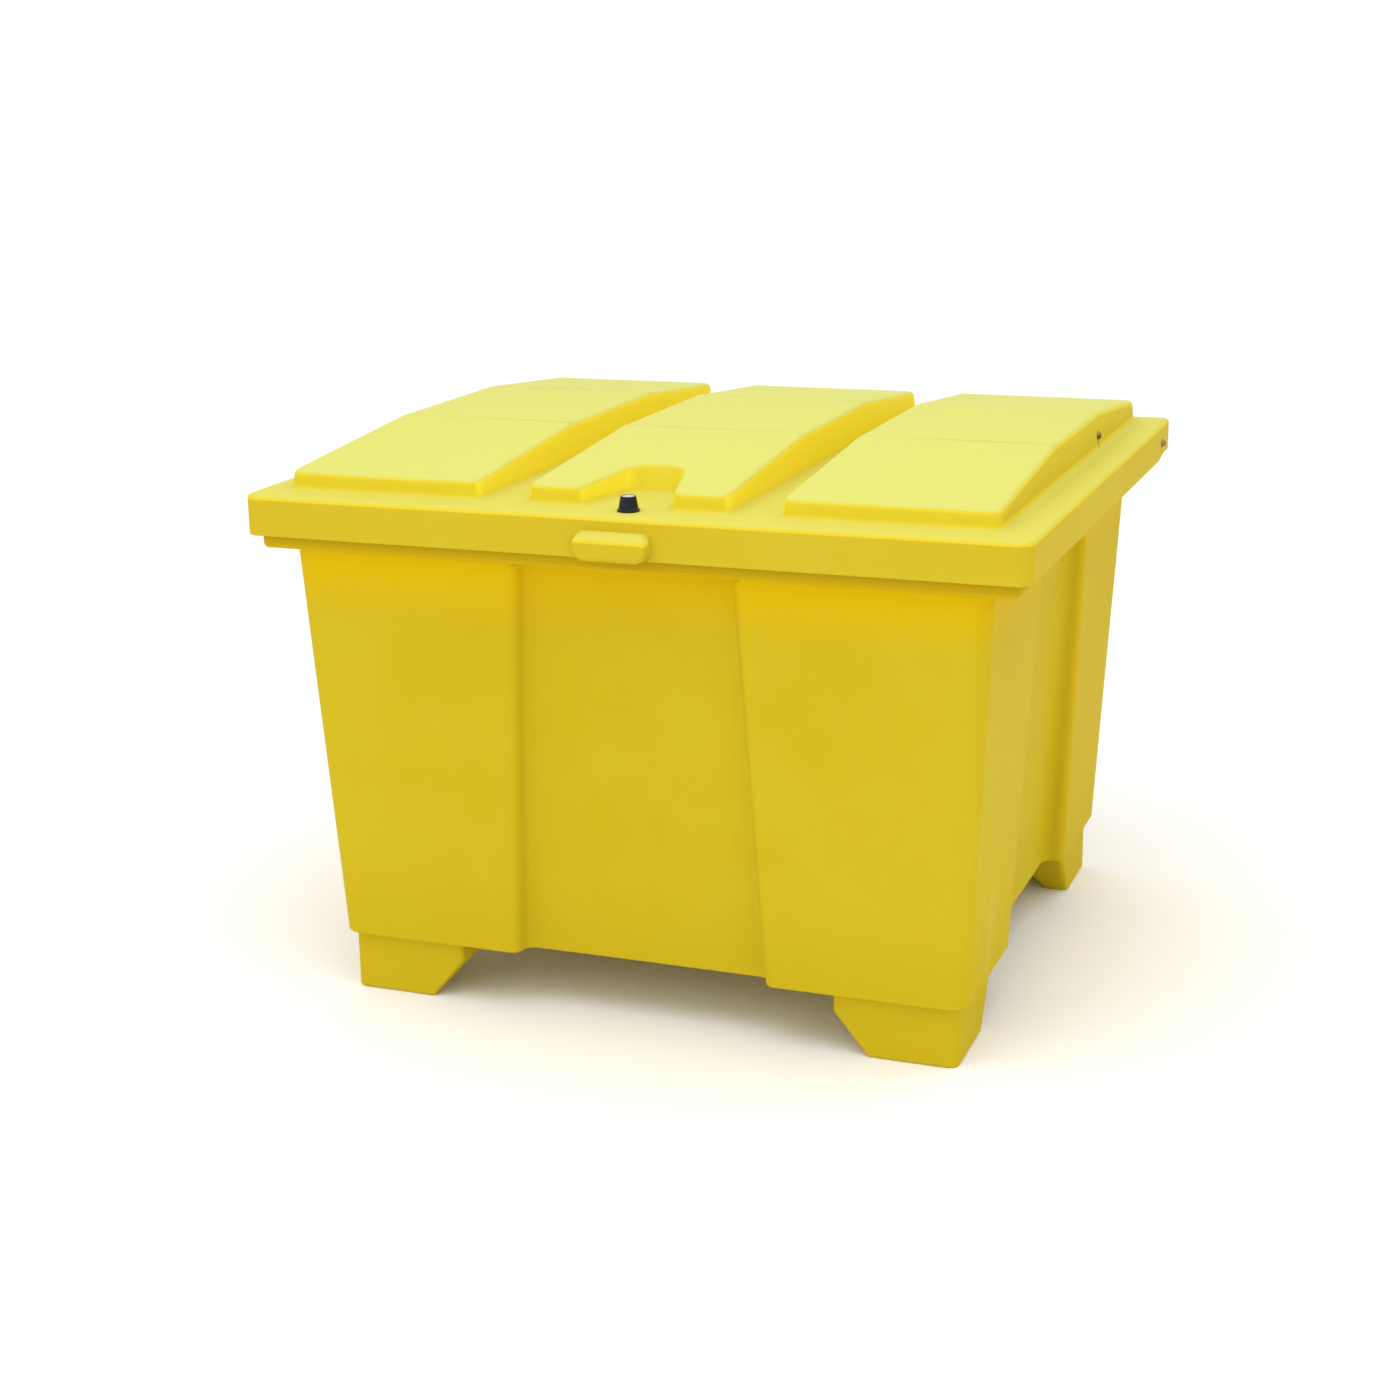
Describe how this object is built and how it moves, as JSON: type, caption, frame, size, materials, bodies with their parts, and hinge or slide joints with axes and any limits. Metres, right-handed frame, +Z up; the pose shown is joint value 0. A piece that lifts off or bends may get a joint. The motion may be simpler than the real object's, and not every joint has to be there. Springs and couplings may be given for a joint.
{
  "type": "grit salt bin",
  "caption": "Forkliftable moulded grit bin: drafted tub on hollow feet, hinged lid with raised panels, cam lock and gas struts.",
  "frame": {"origin": "on the ground in the middle of the bin's outline", "axes": "+X to the bin's right seen from the front, +Y to the back where the hinges are, +Z up"},
  "size_m": [1.2142, 1.12, 0.8685],
  "materials": {
    "yellow_polyethylene": "satin moulded",
    "black_plastic": "satin",
    "nylon": "natural nylon",
    "rubber": "matt",
    "chromed_lock": "bright chrome",
    "polished_rod": "polished",
    "stainless_steel": "bright stainless",
    "zinc_steel": "zinc plated",
    "black_paint": "gloss black paint",
    "brass_insert": "knurled"
  },
  "bodies": {
    "root": {"tub": "yellow_polyethylene", "strike_plate": "zinc_steel", "strike_rivets": "stainless_steel", "hinge_bolt_left": "stainless_steel", "hinge_spacer_left": "nylon", "hinge_washer_left": "stainless_steel", "hinge_nut_left": "stainless_steel", "strut_bracket_left": "zinc_steel", "bracket_clip_left": "stainless_steel", "bracket_screws_left": "stainless_steel", "bracket_inserts_left": "brass_insert", "hinge_bolt_right": "stainless_steel", "hinge_spacer_right": "nylon", "hinge_washer_right": "stainless_steel", "hinge_nut_right": "stainless_steel", "strut_bracket_right": "zinc_steel", "bracket_clip_right": "stainless_steel", "bracket_screws_right": "stainless_steel", "bracket_inserts_right": "brass_insert"},
    "lid_body": {"lid": "yellow_polyethylene", "lock_housing": "black_plastic", "lock_gasket": "rubber", "lock_barrel": "chromed_lock", "lock_nut": "zinc_steel", "hinge_bush_left": "nylon", "strut_lid_bolt_left": "stainless_steel", "strut_lid_washer_left": "stainless_steel", "strut_lid_nut_left": "stainless_steel", "hinge_bush_right": "nylon", "strut_lid_bolt_right": "stainless_steel", "strut_lid_washer_right": "stainless_steel", "strut_lid_nut_right": "stainless_steel"},
    "lock_turn_body": {"lock_rotor": "chromed_lock", "lock_cam": "zinc_steel", "lock_cam_screw": "zinc_steel"},
    "strut_tube_body_left": {"strut_cylinder_left": "black_paint", "strut_guide_left": "zinc_steel", "strut_foot_eye_left": "zinc_steel"},
    "strut_rod_body_left": {"strut_rod_left": "polished_rod", "strut_piston_left": "nylon", "strut_head_eye_left": "zinc_steel", "strut_lid_pin_left": "zinc_steel"},
    "strut_tube_body_right": {"strut_cylinder_right": "black_paint", "strut_guide_right": "zinc_steel", "strut_foot_eye_right": "zinc_steel"},
    "strut_rod_body_right": {"strut_rod_right": "polished_rod", "strut_piston_right": "nylon", "strut_head_eye_right": "zinc_steel", "strut_lid_pin_right": "zinc_steel"}
  },
  "joints": [
    {"name": "lid_hinge", "type": "hinge", "parent": "root", "child": "lid_body", "pos_m": [0, 0.487, 0.7735], "axis": [-1, 0, 0], "range_deg": [0, 80]},
    {"name": "lock_turn", "type": "hinge", "parent": "lid_body", "child": "lock_turn_body", "pos_m": [0.006, -0.491, 0.7819], "axis": [0, 0, -1], "range_deg": [0, 90]},
    {"name": "strut_tilt_left", "type": "hinge", "parent": "root", "child": "strut_tube_body_left", "pos_m": [-0.51, 0.44, 0.68], "axis": [-1, 0, 0], "range_deg": [-1, 67.38]},
    {"name": "strut_slide_left", "type": "slide", "parent": "strut_tube_body_left", "child": "strut_rod_body_left", "axis": [0, -0.8552, 0.5182], "range_m": [-0.001, 0.10818]},
    {"name": "strut_tilt_right", "type": "hinge", "parent": "root", "child": "strut_tube_body_right", "pos_m": [0.51, 0.44, 0.68], "axis": [-1, 0, 0], "range_deg": [-1, 67.38]},
    {"name": "strut_slide_right", "type": "slide", "parent": "strut_tube_body_right", "child": "strut_rod_body_right", "axis": [0, -0.8552, 0.5182], "range_m": [-0.001, 0.10818]}
  ],
  "couplings": [
    {"joint": "strut_tilt_left", "follows": "lid_hinge", "ratio": 0.82976},
    {"joint": "strut_slide_left", "follows": "lid_hinge", "m_per_rad": 0.076759},
    {"joint": "strut_tilt_right", "follows": "lid_hinge", "ratio": 0.82976},
    {"joint": "strut_slide_right", "follows": "lid_hinge", "m_per_rad": 0.076759}
  ]
}
